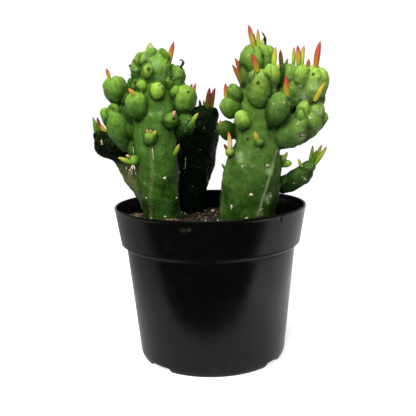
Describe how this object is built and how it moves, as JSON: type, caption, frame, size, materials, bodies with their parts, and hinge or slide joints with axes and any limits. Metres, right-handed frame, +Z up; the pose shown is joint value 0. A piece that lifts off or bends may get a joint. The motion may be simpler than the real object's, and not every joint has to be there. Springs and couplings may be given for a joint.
{
  "type": "potted gumbi opuntia",
  "caption": "Clump of knobbly cylindrical cactus stems with side shoots and awl-shaped leaves, in soil in a round tapered nursery pot.",
  "frame": {"origin": "centre of the pot's footprint, on the surface that it stands on", "axes": "+Z up, -Y towards the front that the picture shows, +X to the right"},
  "size_m": [0.1992, 0.16, 0.2742],
  "materials": {
    "pot_plastic": "semi-gloss black moulded polypropylene",
    "potting_soil": "rough brown peat and bark with tan fibres",
    "cactus_green": "satin waxy green skin, yellow-green shoots, red-tipped leaves",
    "cactus_dark_green": "satin waxy dark green skin"
  },
  "bodies": {
    "root": {"pot": "pot_plastic", "soil": "potting_soil", "stem_front_left": "cactus_green", "stem_right": "cactus_green", "stem_back_centre": "cactus_dark_green", "stem_back_left": "cactus_dark_green"}
  },
  "joints": []
}
